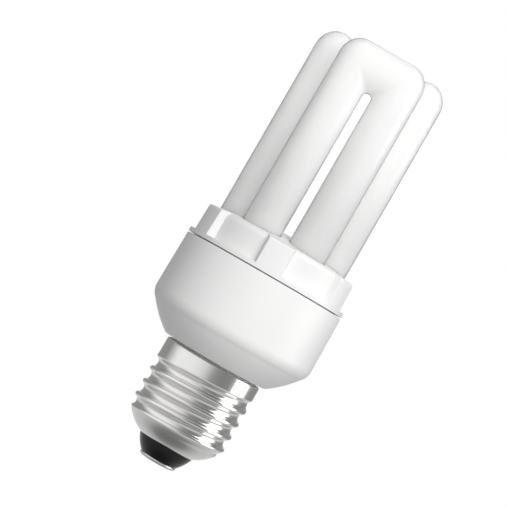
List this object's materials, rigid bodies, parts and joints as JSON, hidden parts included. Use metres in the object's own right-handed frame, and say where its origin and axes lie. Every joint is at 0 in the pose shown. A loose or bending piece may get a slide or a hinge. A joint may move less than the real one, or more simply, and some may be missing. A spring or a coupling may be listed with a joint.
{
  "type": "energy saving bulb",
  "caption": "Compact fluorescent lamp with parallel U-shaped white tubes in a ring on a round plastic ballast housing with a screw cap.",
  "frame": {"origin": "middle of the end contact's flat face, the cap's lowest point", "axes": "+Z along the lamp's axis from the cap to the tubes; one U-shaped tube faces -Y, and X runs across its two legs"},
  "size_m": [0.0442, 0.0442, 0.1157],
  "materials": {
    "nickel": "bright nickel plate",
    "black_glass": "glossy opaque black",
    "contact_metal": "dull tinned brass",
    "solder": "dull solder",
    "white_plastic": "satin moulded white",
    "tube_glass": "glossy glass, coated white inside",
    "cement": "matt white cement",
    "board": "phenolic paper laminate",
    "can_sleeve": "shrunk sleeve",
    "film_body": "dipped resin",
    "disc_body": "dipped resin",
    "black_moulding": "moulded black",
    "ferrite": "sintered matt",
    "bobbin": "moulded natural",
    "enamelled_copper": "enamelled wire",
    "resistor_body": "lacquered",
    "diac_glass": "glossy",
    "shrink_tube": "soft sleeve",
    "tinned_copper": "tinned wire"
  },
  "bodies": {
    "root": {"screw_shell": "nickel", "cap_insulator": "black_glass", "end_contact": "contact_metal", "contact_solder": "solder", "ballast_housing": "white_plastic", "tube_holder": "white_plastic", "discharge_tube": "tube_glass", "tube_cement": "cement", "circuit_board": "board", "solder_joints": "solder", "filter_capacitor": "can_sleeve", "resonant_capacitor": "film_body", "blocking_capacitor": "film_body", "start_capacitor": "disc_body", "start_thermistor": "disc_body", "transistors": "black_moulding", "choke_core": "ferrite", "choke_bobbin": "bobbin", "choke_winding": "enamelled_copper", "choke_pins": "tinned_copper", "input_choke_core": "ferrite", "input_choke_winding": "enamelled_copper", "drive_ring": "ferrite", "drive_windings": "enamelled_copper", "fuse_resistor": "resistor_body", "fuse_sleeve": "shrink_tube", "live_lead": "tinned_copper", "neutral_lead": "tinned_copper", "rectifier_diodes": "black_moulding", "resistors": "resistor_body", "diac": "diac_glass", "wrap_posts": "tinned_copper", "tube_leads": "tinned_copper"}
  },
  "joints": []
}
